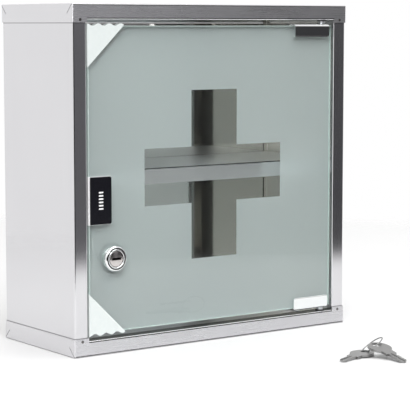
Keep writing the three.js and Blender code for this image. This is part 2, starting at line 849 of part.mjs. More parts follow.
// Each key hangs on the ring by its hole and rests on the point of its blade
function keys() {
  const tilt = THREE.MathUtils.degToRad(ringTilt);
  const lift = ringRadius * Math.sin(tilt) + ringWire / 2;
  const group = new THREE.Group();
  group.position.set(keysX, keysY, 0);
  group.rotation.z = THREE.MathUtils.degToRad(keysTurn);
  const ring = keyRing();
  ring.rotation.x = tilt;
  ring.position.z = lift;
  group.add(ring);
  const blank = keyBlank();
  const reach = keyBladeEnd + keyHoleOffset;
  keyRingAngles.forEach((degrees, i) => {
    const around = THREE.MathUtils.degToRad(degrees);
    const hole = new THREE.Vector3(
      ringRadius * Math.cos(around),
      ringRadius * Math.sin(around) * Math.cos(tilt),
      lift + ringRadius * Math.sin(around) * Math.sin(tilt),
    );
    const key = piece(`key_${i + 1}`, blank, nickel);
    const slope = Math.asin((hole.z - keyThick / 2) / reach);
    key.position.x = keyHoleOffset;
    const holder = new THREE.Group();
    holder.position.copy(hole);
    holder.rotation.order = 'ZYX';
    holder.rotation.set(0, slope, THREE.MathUtils.degToRad(keyHeadings[i]));
    holder.add(key);
    group.add(holder);
  });
  return group;
}

// Assembly

function turnedOver(...pieces) {
  const group = new THREE.Group();
  group.scale.z = -1;
  group.position.z = cabinetHeight;
  return group.add(...pieces);
}

function rightHand(...pieces) {
  const group = new THREE.Group();
  group.scale.x = -1;
  return group.add(...pieces);
}

const body = new THREE.Group();
body.add(
  cap('top_cap'),
  turnedOver(cap('bottom_cap')),
  sidePanel('left_side_panel'),
  rightHand(sidePanel('right_side_panel')),
  backPanel(),
  shelf(),
  pivotBush('top_pivot_bush'),
  turnedOver(pivotBush('bottom_pivot_bush')),
  ...touchLatch(),
  latchPlunger(),
);

const door = new THREE.Group();
door.add(
  doorGlass(),
  frostFilm(),
  ...pivotClip('top'),
  turnedOver(...pivotClip('bottom')),
  ...pushPlate(),
  cornerGuard('top_corner_guard'),
  turnedOver(cornerGuard('bottom_corner_guard')),
  lockHousing(),
  lockCore(),
);

const cabinet = new THREE.Group();
cabinet.add(body, door, keys());

export default cabinet;
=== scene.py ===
import json
import math

import bmesh
import bpy
from mathutils import Matrix, Vector

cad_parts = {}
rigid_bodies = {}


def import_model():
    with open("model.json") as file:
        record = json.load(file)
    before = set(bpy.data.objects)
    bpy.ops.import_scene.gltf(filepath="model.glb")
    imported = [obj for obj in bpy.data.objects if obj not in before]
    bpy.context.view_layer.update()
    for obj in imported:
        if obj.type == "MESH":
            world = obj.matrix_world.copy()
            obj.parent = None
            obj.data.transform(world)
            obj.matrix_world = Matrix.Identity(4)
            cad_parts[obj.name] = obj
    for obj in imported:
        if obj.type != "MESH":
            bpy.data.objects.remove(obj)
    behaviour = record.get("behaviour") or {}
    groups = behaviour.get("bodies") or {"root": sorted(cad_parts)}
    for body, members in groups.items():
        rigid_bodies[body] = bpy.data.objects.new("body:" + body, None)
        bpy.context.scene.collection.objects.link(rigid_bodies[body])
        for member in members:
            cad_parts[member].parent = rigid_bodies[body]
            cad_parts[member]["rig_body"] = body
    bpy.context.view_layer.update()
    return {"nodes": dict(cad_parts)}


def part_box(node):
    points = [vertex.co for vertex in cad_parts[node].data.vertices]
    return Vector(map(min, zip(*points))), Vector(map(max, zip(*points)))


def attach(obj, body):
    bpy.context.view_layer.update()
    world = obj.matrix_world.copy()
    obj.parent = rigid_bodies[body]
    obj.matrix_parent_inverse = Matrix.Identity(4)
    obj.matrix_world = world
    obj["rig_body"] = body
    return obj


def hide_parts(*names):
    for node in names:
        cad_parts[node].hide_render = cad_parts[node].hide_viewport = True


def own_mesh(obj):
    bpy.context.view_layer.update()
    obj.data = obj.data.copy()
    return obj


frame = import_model()

# Camera: a long lens level with the cabinet's top, off its front left corner, so that the front
# and the left side both show. It is tipped down a little to bring the base into view.
picture_width, focal_pixels, sensor_width = 410, 1670.6, 36.0
camera_place, camera_tilt, camera_turn = (-0.8819, -1.2543, 0.2819), 84.003, -36.025
camera = bpy.data.objects.new("camera", bpy.data.cameras.new("camera"))
bpy.context.scene.collection.objects.link(camera)
camera.data.sensor_width = sensor_width
camera.data.lens = focal_pixels / picture_width * sensor_width
camera.location = camera_place
camera.rotation_euler = (math.radians(camera_tilt), 0, math.radians(camera_turn))
bpy.context.scene.camera = camera
bpy.context.scene.view_settings.view_transform = "Standard"


# Studio: a white laminate table, which fades out round the cabinet, in a tent of white cloth. The
# tent is open to the front right and has a slit where the camera stands, and there bare steel
# mirrors the darker room. Seen straight or through clear glass, all behind is a white backdrop.
class Flow:
    """A socket of a shader being made; sums written with it become Math nodes."""

    def __init__(self, tree, socket=None):
        self.tree = tree
        self.socket = socket

    def node(self, kind, settings, sockets, output=0):
        made = self.tree.nodes.new("ShaderNode" + kind)
        for name, value in settings.items():
            setattr(made, name, value)
        for name, value in sockets.items():
            if isinstance(value, Flow):
                self.tree.links.new(value.socket, made.inputs[name])
            else:
                made.inputs[name].default_value = value
        return Flow(self.tree, made.outputs[output] if made.outputs else None)

    def __add__(self, other):
        return self.node("Math", {"operation": "ADD"}, {0: self, 1: other})

    def __radd__(self, other):
        return self.node("Math", {"operation": "ADD"}, {0: other, 1: self})

    def __sub__(self, other):
        return self.node("Math", {"operation": "SUBTRACT"}, {0: self, 1: other})

    def __rsub__(self, other):
        return self.node("Math", {"operation": "SUBTRACT"}, {0: other, 1: self})

    def __mul__(self, other):
        return self.node("Math", {"operation": "MULTIPLY"}, {0: self, 1: other})

    def __rmul__(self, other):
        return self.node("Math", {"operation": "MULTIPLY"}, {0: other, 1: self})

    def __lt__(self, other):
        return self.node("Math", {"operation": "LESS_THAN"}, {0: self, 1: other})

    def __gt__(self, other):
        return self.node("Math", {"operation": "GREATER_THAN"}, {0: self, 1: other})


def larger(a, b):
    return a.node("Math", {"operation": "MAXIMUM"}, {0: a, 1: b})


def ease(value, low, high):
    return value.node("MapRange", {"interpolation_type": "SMOOTHSTEP"},
                      {"Value": value, "From Min": low, "From Max": high})


def part_of(vector, letter):
    return vector.node("SeparateXYZ", {}, {0: vector}, letter)


def noise(place, scale, detail):
    return place.node("TexNoise", {}, {"Vector": place, "Scale": scale, "Detail": detail})


def new_finish(name):
    finish = bpy.data.materials.new(name)
    finish.use_nodes = True
    finish.node_tree.nodes.clear()
    flow = Flow(finish.node_tree)
    return finish, flow, flow.node("TexCoord", {}, {}, "Object")


def coat(flow, sockets):
    shader = flow.node("BsdfPrincipled", {}, sockets)
    flow.node("OutputMaterial", {}, {"Surface": shader})


crisp_from = math.radians(32)


def new_piece(name, shape, finish):
    """Turns a shape into a piece, shaded smooth over its bends and crisp at its edges."""
    bmesh.ops.recalc_face_normals(shape, faces=shape.faces)
    mesh = bpy.data.meshes.new(name)
    shape.to_mesh(mesh)
    shape.free()
    mesh.shade_smooth()
    mesh.set_sharp_from_angle(angle=crisp_from)
    mesh.materials.append(finish)
    piece = bpy.data.objects.new(name, mesh)
    bpy.context.scene.collection.objects.link(piece)
    return piece


table_middle, fade_start, fade_end = (0.05, 0.2, 0.0), 0.634, 0.814
table_front, table_reach = -0.80, 2.0
white_laminate, flow, place = new_finish("white_laminate")
mottle = noise(place, 3.0, 2.0)
from_middle = flow.node("VectorMath", {"operation": "DISTANCE"}, {0: place, 1: table_middle}, "Value")
coat(flow, {"Base Color": (0.66, 0.66, 0.66, 1), "Roughness": 0.55 + 0.1 * mottle,
            "Alpha": 1 - ease(from_middle, fade_start, fade_end)})
table_corners = ((-table_reach, table_front), (table_reach, table_front),
                 (table_reach, table_reach), (-table_reach, table_reach))
table_shape = bmesh.new()
table_shape.faces.new([table_shape.verts.new((x, y, 0)) for x, y in table_corners])
new_piece("table", table_shape, white_laminate)

world = bpy.data.worlds.new("studio")
bpy.context.scene.world = world
world.use_nodes = True
world.node_tree.nodes.clear()
flow = Flow(world.node_tree)
# Headings are in radians to the right from straight in front. A height of 1 is straight up.
look = flow.node("TexCoord", {}, {}, "Generated")
height = part_of(look, "Z")
heading = flow.node("Math", {"operation": "ARCTAN2"}, {0: part_of(look, "X"), 1: part_of(look, "Y") * -1})
door_left, door_right, door_top = (0.24, 0.42), (1.15, 1.75), (0.12, 0.55)
doorway = ease(heading, *door_left) * (1 - ease(heading, *door_right)) * (1 - ease(height, *door_top))
slit_left, slit_right, slit_foot, slit_top = (-0.80, -0.70), (0.40, 0.50), (-0.40, -0.30), (0.07, 0.12)
slit = (ease(heading, *slit_left) * (1 - ease(heading, *slit_right))
        * ease(height, *slit_foot) * (1 - ease(height, *slit_top)))
room_start, floor_shade, floor_lamp = (0.44, 0.53), (0.575, 0.65), (0.77, 1.0)
wall_foot, wall_shade = (-0.02, 0.10), (0.54, 0.70)
floor_glow = 0.185 - 0.17 * ease(heading, *floor_shade) + 0.45 * ease(heading, *floor_lamp)
wall_glow = ease(height, *wall_foot) * (0.21 - 0.20 * ease(heading, *wall_shade))
room_glow = 0.03 + (floor_glow + wall_glow) * ease(heading, *room_start)
room = flow.node("Background", {}, {"Color": (0.96, 0.95, 1.0, 1), "Strength": room_glow})
tent = flow.node("Background", {}, {"Color": (1.0, 1.0, 1.0, 1), "Strength": 1.02})
mirrored = flow.node("MixShader", {}, {0: larger(doorway, slit), 1: tent, 2: room})
backdrop = flow.node("Background", {}, {"Color": (1.0, 1.0, 1.0, 1), "Strength": 1.0})


def ray(kind):
    return flow.node("LightPath", {}, {}, kind)


through_glass = ray("Is Transmission Ray") * (ray("Diffuse Depth") + ray("Glossy Depth") < 0.5)
in_view = larger(ray("Is Camera Ray"), through_glass)
surround = flow.node("MixShader", {}, {0: in_view, 1: mirrored, 2: backdrop})
flow.node("OutputWorld", {}, {"Surface": surround})

light_aim = Vector((0, 0, 0.15))
for name, spot, size, power in (
    ("key_light", (-0.9, -1.5, 1.5), 1.2, 29.0),
    ("top_light", (0.2, -0.5, 2.0), 1.4, 20.0),
):
    light = bpy.data.objects.new(name, bpy.data.lights.new(name, "AREA"))
    bpy.context.scene.collection.objects.link(light)
    light.data.size = size
    light.data.energy = power
    light.location = spot
    light.rotation_euler = (light_aim - light.location).to_track_quat("-Z", "Y").to_euler()


# Caps: the top and the base, each a tray folded from one stainless sheet with a tab at each corner
# and a front rail, flush with the tray and turned back inside. The sheet is brushed along the front
# and film polished. Across its front bends are painted shade, a painted dark reflection and a painted
# highlight, and its corner seams are painted dark as shade and grime.
middle_z, sheet_edge = 0.1500, 0.0001
sheet_dark, sheet_light = (0.66, 0.655, 0.675), (0.74, 0.735, 0.75)
along_front, along_side, no_lay = (9.0, 2200.0, 2200.0), (2200.0, 9.0, 2200.0), (900.0, 900.0, 900.0)
# Colour, strength and width of a dark line painted along a seam, as grime and shade.
no_seam, grime_and_shade, grime_and_shade_share, grime_and_shade_width = 0.2, (0.05, 0.05, 0.05, 1), 0.7, 0.0010


def mixed(flow, share, dark, light):
    return flow.node("Mix", {"data_type": "RGBA"}, {0: share, 6: (*dark, 1), 7: (*light, 1)}, 2)


def unsigned(value):
    return value.node("Math", {"operation": "ABSOLUTE"}, {0: value})


def brushed_steel(name, grain, coarse, dark=sheet_dark, light=sheet_light, lay=0.0, turn=0.0,
                  seam=no_seam, metal=1.0):
    finish, flow, place = new_finish(name)
    brushed = flow.node("Mapping", {}, {"Vector": place, "Scale": grain})
    streak = flow.node("TexNoise", {}, {"Vector": brushed, "Scale": 1.0, "Detail": 4.0, "Roughness": 0.6})
    smudge = noise(place, 16.0, 5.0)
    relief = flow.node("Bump", {}, {"Height": streak, "Strength": 0.06, "Distance": 0.00003})
    # Beyond the given distance from the middle height, where a side sheet goes under a cap's rim, the sheet
    # is darkened with a soft edge: grime and painted shade.
    from_level = unsigned(part_of(place, "Z") - middle_z)
    grime_and_shade_mask = grime_and_shade_share * ease(from_level, seam - grime_and_shade_width, seam)
    clean = mixed(flow, 0.6 * streak + 0.4 * smudge, dark, light)
    grimed_and_shaded = flow.node("Mix", {"data_type": "RGBA"}, {0: grime_and_shade_mask, 6: clean, 7: grime_and_shade}, 2)
    coat(flow, {"Base Color": grimed_and_shaded, "Metallic": metal,
                "Roughness": coarse * (0.75 + 0.3 * streak + 0.2 * smudge),
                "Anisotropic": lay, "Anisotropic Rotation": turn, "Normal": relief})
    return finish


# How far a face is turned to an axis, where 1 is fully.
aslant, facing, square_on = 0.5, 0.7, 0.9
eased_from, flat_within, same_point = math.radians(40), math.radians(0.5), 1e-6


def ease_edges(piece, width):
    if width:
        bevel = piece.modifiers.new("eased_edges", "BEVEL")
        bevel.width = width
        bevel.segments = 2
        bevel.limit_method = "ANGLE"
        bevel.angle_limit = eased_from
    normals = piece.modifiers.new("flat_faces", "WEIGHTED_NORMAL")
    normals.keep_sharp = True


def stand_for(piece, node):
    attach(piece, frame["nodes"][node]["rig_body"])
    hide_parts(node)
    return piece


def finer_copy(node, name, finish, edge=0.0, soft=0.0, chosen=None, mend=None):
    """The solid's own form with its flats joined, bends shaded smooth and sharp edges eased."""
    solid = frame["nodes"][node]
    shape = bmesh.new()
    shape.from_mesh(solid.data)
    bmesh.ops.remove_doubles(shape, verts=shape.verts, dist=same_point)
    if mend:
        mend(shape)
    bmesh.ops.dissolve_limit(shape, angle_limit=flat_within, verts=shape.verts, edges=shape.edges)
    if soft:
        bmesh.ops.bevel(shape, geom=[side for side in shape.edges if chosen(side)], offset=soft, segments=4,
                        profile=0.5, affect="EDGES", clamp_overlap=True)
    piece = new_piece(name, shape, finish)
    ease_edges(piece, edge)
    return stand_for(piece, node)


def finish_faces(piece, finish, chosen):
    finishes = piece.data.materials
    if finish.name not in finishes:
        finishes.append(finish)
    number = finishes.find(finish.name)
    for face in piece.data.polygons:
        if chosen(face):
            face.material_index = number


def finish_bends(piece, bands, up=1):
    """Finishes the front bends in bands, each from one lean to another: 0 is upright and 1 faces up."""
    forward = 0.05
    for finish, low, high in bands:
        finish_faces(piece, finish, lambda face: (
            face.center.y < 0 and face.normal.y < -forward and low < face.normal.z * up < high))


front_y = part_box("top_cap")[0].y
rail_half, rail_sheet, bend_rise, fold_rise = 0.1355, 0.0008, 0.1380, 0.14325


def flush_front(shape):
    """Carries the rail's front wall up to the tray in one plane and at the sheet's full thickness."""
    near = 1e-5
    thinned = [face for face in shape.faces if face.normal.y < aslant and all(
        abs(vert.co.x) < rail_half + near and vert.co.y < front_y + rail_sheet + near
        and bend_rise - near < abs(vert.co.z - middle_z) < fold_rise + near for vert in face.verts)]
    rise = math.copysign(1, thinned[0].verts[0].co.z - middle_z)
    places = [Vector((x, front_y, middle_z + rise * z)) for x, z in (
        (-rail_half, bend_rise), (rail_half, bend_rise), (rail_half, fold_rise), (-rail_half, fold_rise))]
    corners = [min(shape.verts, key=lambda vert: (vert.co - place).length) for place in places]
    bmesh.ops.delete(shape, geom=thinned, context="FACES")
    shape.faces.new(corners)


rail_steel = brushed_steel("rail_steel", along_front, 0.28, (0.675, 0.67, 0.695), (0.725, 0.72, 0.74),
                           lay=0.85, turn=0.25)
rim_steel = brushed_steel("rim_steel", along_side, 0.22, lay=0.85, turn=0.25)
flat_steel = brushed_steel("flat_steel", along_front, 0.30)
# Painted shade and grime for the faces of the corner seam grooves.
seam_shade_and_grime = brushed_steel("seam_shade_and_grime", no_lay, 0.5, (0.05, 0.05, 0.05), (0.10, 0.10, 0.10))
# Painted shade for the ledge behind the rail and for the first facets of the front bends.
ledge_painted_shade = brushed_steel("ledge_painted_shade", along_front, 0.35, (0.10, 0.10, 0.10), (0.16, 0.16, 0.16))
# A painted dark reflection and a painted highlight, for bands across the front bends.
bend_painted_dark_reflection = brushed_steel("bend_painted_dark_reflection", along_front, 0.5, (0.008, 0.008, 0.009), (0.018, 0.018, 0.019))
bend_painted_highlight = brushed_steel("bend_painted_highlight", along_front, 0.12, (0.90, 0.90, 0.91), (0.96, 0.96, 0.97))
ledge_back, ledge_foot, ledge_head = -0.04, 0.01, 0.03
seam_floor, close = 0.14965, 0.0001
# Bands across the front bends: painted shade, then a painted dark reflection, then a painted highlight.
bend_bands = ((ledge_painted_shade, -0.6, -0.05), (bend_painted_dark_reflection, 0.05, 0.5), (bend_painted_highlight, 0.5, 0.999))
for node, inward in (("top_cap", -1), ("bottom_cap", 1)):
    cap = finer_copy(node, node + "_sheet", rail_steel, sheet_edge, mend=flush_front)
    finish_faces(cap, rim_steel, lambda face: abs(face.normal.x) > facing)
    finish_faces(cap, flat_steel, lambda face: abs(face.normal.z) > facing)
    # The ledge behind the bottom rail is painted dark as shade.
    finish_faces(cap, ledge_painted_shade, lambda face: (
        abs(face.normal.z) > facing and face.center.y < ledge_back
        and ledge_foot < face.center.z < ledge_head))
    finish_bends(cap, bend_bands, inward)
    # The faces of the seam grooves at the caps' corners are painted dark, as shade and grime.
    finish_faces(cap, seam_shade_and_grime, lambda face: abs(face.center.x) > seam_floor - close and (
        min(abs(face.normal.y), abs(face.normal.z)) > aslant
        or (abs(face.normal.x) > square_on and abs(face.center.x) < seam_floor + close)))


# Side panels: wall, front stile with its return and rear flange folded from one stainless sheet,
# brushed upwards outside and left as rolled inside. They stand in the caps and are spot welded to
# them.
upwards, as_rolled, side_seam = (2200.0, 2200.0, 9.0), (500.0, 500.0, 40.0), 0.1339
# The outside of the side sheet is darkened in a thin line along each cap's rim, as grime and painted shade.
side_steel = brushed_steel("side_steel", upwards, 0.15, lay=0.85, seam=side_seam)
rolled_steel = brushed_steel("rolled_steel", as_rolled, 0.10, (0.66, 0.635, 0.59), (0.76, 0.735, 0.69),
                             metal=0.8)
shaded_steel = brushed_steel("shaded_steel", upwards, 0.25, (0.46, 0.46, 0.465), (0.54, 0.54, 0.545))
wall_inside, flange_inside, return_reach = 0.147, 0.0586, 0.137
for node in ("left_side_panel", "right_side_panel"):
    side = finer_copy(node, node + "_sheet", side_steel, sheet_edge)
    outward = math.copysign(1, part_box(node)[0].x)
    finish_faces(side, rolled_steel, lambda face: (
        (abs(face.center.x) > wall_inside and face.normal.x * outward < -aslant)
        or (abs(face.normal.y) > aslant and abs(face.center.y) < flange_inside)))
    finish_faces(side, shaded_steel, lambda face: (
        abs(face.center.x) < return_reach and face.center.y < 0 and abs(face.normal.x) > square_on))


# Back panel: flat stainless sheet, left as rolled and welded to the rear flanges of the sides. It
# has two keyholes for the wall screws.
bright_rolled = brushed_steel("bright_rolled", as_rolled, 0.05, (0.58, 0.57, 0.55), (0.67, 0.66, 0.64))
finer_copy("back_panel", "back_panel_sheet", bright_rolled, sheet_edge)


# Spot welds: the round marks that the welding tips leave where two sheets are joined, at the
# front corners of the caps. The sheet is dished and tinted by the heat.
def circle_y(x, z, radius, y, steps=64):
    turns = [2 * math.pi * i / steps for i in range(steps)]
    return [(x + radius * math.cos(turn), y, z + radius * math.sin(turn)) for turn in turns]


def lofted(name, loops, finish, closed=False):
    """A skin over a row of loops with like counts of points, its ends filled or joined."""
    shape = bmesh.new()
    rows = [[shape.verts.new(point) for point in loop] for loop in loops]
    pairs = list(zip(rows, rows[1:]))
    if closed:
        pairs.append((rows[-1], rows[0]))
    else:
        shape.faces.new(rows[0])
        shape.faces.new(rows[-1])
    for near, far in pairs:
        for i in range(len(near)):
            j = (i + 1) % len(near)
            shape.faces.new((near[i], near[j], far[j], far[i]))
    return new_piece(name, shape, finish)


weld_tint = brushed_steel("weld_tint", no_lay, 0.30, (0.10, 0.095, 0.095), (0.22, 0.21, 0.205))
weld_profile = ((0.0013, -0.00005), (0.0013, 0.0), (0.0011, 0.00005), (0.0009, 0.00007),
                (0.0007, 0.00004), (0.0004, 0.00001), (0.0002, 0.0))
weld_spots = [(x, z) for x in (-0.142, 0.142) for z in (0.0135, 0.2865)]
weld_steps = 24
for i, (x, z) in enumerate(weld_spots):
    loops = [circle_y(x, z, radius, front_y - proud, weld_steps) for radius, proud in weld_profile]
    weld = lofted(f"spot_weld_{i + 1}", loops, weld_tint)
    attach(weld, "cabinet")


# Shelf: a shallow tray folded from one stainless sheet, turned upside down and held between the
# sides. It is brushed along its length.
along_shelf = (9.0, 1500.0, 1500.0)
shelf_steel = brushed_steel("shelf_steel", along_shelf, 0.42, (0.66, 0.66, 0.67), (0.75, 0.75, 0.76),
                            lay=0.4, turn=0.25)
shelf_top_steel = brushed_steel("shelf_top_steel", along_shelf, 0.34, (0.84, 0.84, 0.85),
                                (0.93, 0.93, 0.94), metal=0.85)
# The shelf's front bend is painted in bands: a painted highlight, then a painted dark reflection.
shelf_bands = ((bend_painted_highlight, 0.05, 0.35), (bend_painted_dark_reflection, 0.35, 0.999))
shelf = finer_copy("shelf", "shelf_sheet", shelf_steel, sheet_edge)
finish_faces(shelf, shelf_top_steel, lambda face: abs(face.normal.z) > facing)
finish_bends(shelf, shelf_bands)


# Door pane: 4 mm float glass with ground edges and a hole drilled for the lock. The back is
# frosted all over except a clear cross.
cross_half, arm_half, cross_height, frost_depth = 0.075, 0.025, 0.150, -0.0541
glass_index, blurred_share = 1.5, 0.25
frosted_glass, flow, place = new_finish("frosted_glass")
from_middle = unsigned(part_of(place, "X"))
from_level = unsigned(part_of(place, "Z") - cross_height)
upright = (from_middle < arm_half) * (from_level < cross_half)
level = (from_middle < cross_half) * (from_level < arm_half)
frost = (part_of(place, "Y") > frost_depth) * (1 - larger(upright, level))
etch = noise(place, 900.0, 2.0)
lamp_ray = flow.node("LightPath", {}, {}, "Is Shadow Ray")
polished = flow.node("BsdfPrincipled", {}, {
    "Base Color": (0.95, 0.98, 0.97, 1), "Roughness": 0.0, "IOR": glass_index, "Transmission Weight": 1.0})
see_through = flow.node("BsdfTransparent", {}, {"Color": (0.88, 0.92, 0.91, 1)})
clear = flow.node("MixShader", {}, {0: lamp_ray, 1: polished, 2: see_through})
blurred = flow.node("BsdfPrincipled", {}, {
    "Base Color": (0.90, 0.945, 0.935, 1), "Roughness": 0.45 + 0.1 * etch, "IOR": glass_index,
    "Transmission Weight": 1.0})
glow = flow.node("BsdfTranslucent", {}, {"Color": (0.70, 0.748, 0.748, 1)})
ground = flow.node("BsdfPrincipled", {}, {"Base Color": (0.665, 0.73, 0.73, 1), "Roughness": 0.9})
milky = flow.node("MixShader", {}, {0: 0.5, 1: glow, 2: ground})
frosted = flow.node("MixShader", {}, {0: blurred_share, 1: milky, 2: blurred})
door_face = flow.node("MixShader", {}, {0: frost, 1: clear, 2: frosted})
flow.node("OutputMaterial", {}, {"Surface": door_face})

ground_edge, flow, place = new_finish("ground_edge")
ripple = noise(place, 25.0, 2.0)
coat(flow, {"Base Color": mixed(flow, ripple, (0.50, 0.60, 0.57), (0.58, 0.68, 0.65)),
            "Roughness": 0.35 + 0.1 * ripple, "IOR": glass_index, "Transmission Weight": 0.25})

pane = finer_copy("door_glass", "door_pane", frosted_glass)
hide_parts("frost_film")
finish_faces(pane, ground_edge, lambda face: abs(face.normal.y) < square_on)


# Pivot clips: steel folded over the right corners of the glass, polished and chromed. The lower edge
# of the top one, which lies on the glass, is painted dark as shade with the rubber's finish.
clip_edge, clip_round, painted_shade_height, painted_shade_lean = 0.0002, 0.0006, 0.0012, 0.35
chrome, flow, place = new_finish("chrome")
smear = noise(place, 120.0, 3.0)
coat(flow, {"Base Color": mixed(flow, smear, (0.83, 0.85, 0.85), (0.89, 0.905, 0.905)), "Metallic": 1.0,
            "Roughness": 0.02 + 0.05 * smear})


def plain_finish(name, dark, light, rough, grain, metal=0.0, relief=0.2):
    spread = 0.15
    finish, flow, place = new_finish(name)
    speck = noise(place, grain, 3.0)
    bump = flow.node("Bump", {}, {"Height": speck, "Strength": relief, "Distance": 0.0001})
    coat(flow, {"Base Color": mixed(flow, speck, dark, light), "Metallic": metal,
                "Roughness": rough - spread / 2 + spread * speck, "Normal": bump})
    return finish


def front_outline(side):
    """The edges round the front of a clip, between its ends and its face or folds."""
    forward_least, sideways_most = 0.35, 0.3
    sideways = [abs(face.normal.x) for face in side.link_faces]
    forward = [-face.normal.y for face in side.link_faces]
    return (len(sideways) == 2 and max(sideways) > square_on and max(forward) > forward_least
            and min(sideways) < sideways_most)


rubber = plain_finish("rubber", (0.015, 0.015, 0.016), (0.03, 0.03, 0.032), 0.75, 400.0)
for end in ("top", "bottom"):
    node = end + "_pivot_clip"
    clip = finer_copy(node, node + "_shell", chrome, clip_edge, clip_round, front_outline)
    if end == "top":
        # The top clip's downward faces along its lower edge are painted dark as shade.
        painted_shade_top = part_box(node)[0].z + painted_shade_height
        finish_faces(clip, rubber, lambda face: face.normal.z < -painted_shade_lean and face.center.z < painted_shade_top)


# What is in the clips: a rubber liner and pad against the glass, two zinc plated grub screws that
# press the pad, and the pivot pin, which turns in a black nylon bush in the rail.
zinc_plate = plain_finish("zinc_plate", (0.52, 0.54, 0.56), (0.68, 0.70, 0.72), 0.35, 300.0, 1.0)
nylon = plain_finish("nylon", (0.020, 0.020, 0.021), (0.035, 0.035, 0.036), 0.45, 300.0)
for end in ("top", "bottom"):
    for node, finish, slot, edge in (
        ("clip_liner", rubber, "rubber", 0.0),
        ("pressure_pad", rubber, "rubber", 0.0002),
        ("grub_screw_1", zinc_plate, "zinc_plated_steel", 0.0001),
        ("grub_screw_2", zinc_plate, "zinc_plated_steel", 0.0001),
        ("pivot_pin", zinc_plate, "bright_steel", 0.0001),
        ("pivot_bush", nylon, "nylon", 0.0001),
    ):
        finer_copy(f"{end}_{node}", f"{end}_{node}_piece", finish, edge)


# Push plate: a gloss black plastic plate with a printed mark of plain bars, set on a satin nickel
# clip. The clip is folded over the edge of the glass, and its rear leg is what the magnet of the
# latch holds.
clip_low, clip_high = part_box("push_clip")
clip_wall, clip_bend, clip_corner, strike_length = 0.0008, 0.0010, 0.0020, 0.0190
fold_steps, corner_steps, push_clip_edge = 4, 6, 0.00025
satin_nickel = plain_finish("satin_nickel", (0.86, 0.86, 0.87), (0.94, 0.94, 0.95), 0.42, 700.0, 0.35, 0.05)
push_black = plain_finish("push_black", (0.002, 0.002, 0.004), (0.004, 0.004, 0.007), 0.20, 500.0, 0.0, 0.02)
mark_white = plain_finish("mark_white", (0.72, 0.72, 0.72), (0.82, 0.82, 0.82), 0.5, 900.0)


def fold(x, y, radius, first, last):
    turns = [math.radians(first + (last - first) * i / fold_steps) for i in range(fold_steps + 1)]
    return [(x + radius * math.cos(turn), y + radius * math.sin(turn)) for turn in turns]


def clip_section(end_rise):
    """Section of the clip, whose front leg is shorter within its rounded corners."""
    dip = max(clip_corner - end_rise, 0)
    tip = clip_high.x - clip_corner + math.sqrt(clip_corner ** 2 - dip ** 2)
    strike = clip_low.x + strike_length
    rear, fore, bend_x = clip_high.y - clip_bend, clip_low.y + clip_bend, clip_low.x + clip_bend
    inside = clip_bend - clip_wall
    return ([(strike, clip_high.y)]
            + fold(bend_x, rear, clip_bend, 90, 180) + fold(bend_x, fore, clip_bend, 180, 270)
            + [(tip, clip_low.y), (tip, clip_low.y + clip_wall)]
            + fold(bend_x, fore, inside, 270, 180) + fold(bend_x, rear, inside, 180, 90)
            + [(strike, clip_high.y - clip_wall)])


end_rises = [clip_corner * (1 - math.cos(math.pi / 2 * i / corner_steps)) for i in range(corner_steps + 1)]
clip_rows = [(clip_low.z + rise, rise) for rise in end_rises]
clip_rows += [(clip_high.z - rise, rise) for rise in reversed(end_rises)]
clip_loops = [[(x, y, z) for x, y in clip_section(rise)] for z, rise in clip_rows]
push_clip = lofted("push_clip_piece", clip_loops, satin_nickel)
ease_edges(push_clip, push_clip_edge)
stand_for(push_clip, "push_clip")
finer_copy("push_plate", "push_plate_piece", push_black)


def rounded_loop(x, z, width, height, radius, y, steps=6):
    corners = ((1, 1), (-1, 1), (-1, -1), (1, -1))
    loop = []
    for quarter, (u, v) in enumerate(corners):
        corner_x, corner_z = x + u * (width / 2 - radius), z + v * (height / 2 - radius)
        for i in range(steps + 1):
            turn = (quarter + i / steps) * math.pi / 2
            loop.append((corner_x + radius * math.cos(turn), y, corner_z + radius * math.sin(turn)))
    return loop


plate_low, plate_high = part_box("push_plate")
plate_middle = (plate_low + plate_high) / 2
bar_count, bar_width, bar_height, bar_pitch, bar_thick = 6, 0.0046, 0.0013, 0.0028, 0.00005
bar_corner = bar_height / 2.1
for i in range(bar_count):
    z = plate_middle.z + (i - (bar_count - 1) / 2) * bar_pitch
    loops = [rounded_loop(plate_middle.x, z, bar_width, bar_height, bar_corner, y)
             for y in (plate_low.y + bar_thick, plate_low.y - bar_thick)]
    bar = lofted(f"push_mark_{i + 1}", loops, mark_white)
    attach(bar, "door")


# Corner guards: pockets of white moulded plastic with a scalloped edge, pushed over the left
# corners of the glass to keep them from chipping.
guard_white = plain_finish("guard_white", (0.60, 0.645, 0.635), (0.66, 0.70, 0.69), 0.4, 300.0, 0.0, 0.05)
guard_edge = 0.0004
for node in ("top_corner_guard", "bottom_corner_guard"):
    finer_copy(node, node + "_piece", guard_white, guard_edge)


# Cam lock: a chromed barrel with a rounded bezel and a threaded shank, drawn against a gasket by a
# washer and nut behind the glass. The nickel plated plug has a domed face, a level keyway and a
# square drive, to which a screw holds the cam.
lock_low, lock_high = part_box("lock_barrel")
lock_x, lock_z = (lock_low.x + lock_high.x) / 2, (lock_low.z + lock_high.z) / 2
face_y, shank_end = lock_low.y, lock_high.y
bezel_radius, bezel_height, bezel_steps = (lock_high.x - lock_low.x) / 2, 0.0046, 10
rim_land, crown_drop, crown_radius = 0.0005, 0.0004, 0.0095
groove_wall, groove_depth = 0.0009, 0.0008
face_ring, ring_chamfer, bore_radius, bore_chamfer = 0.0084, 0.0002, 0.0072, 0.0003
shank_radius, thread_pitch, thread_depth, thread_turns = 0.0090, 0.0010, 0.0003, 6
barrel_steps = 96
bezel_back = face_y + bezel_height
rim_y, crown_y = bezel_back - rim_land, face_y + crown_drop
groove_floor = crown_y + groove_depth
barrel_profile = [(bezel_radius, bezel_back)]
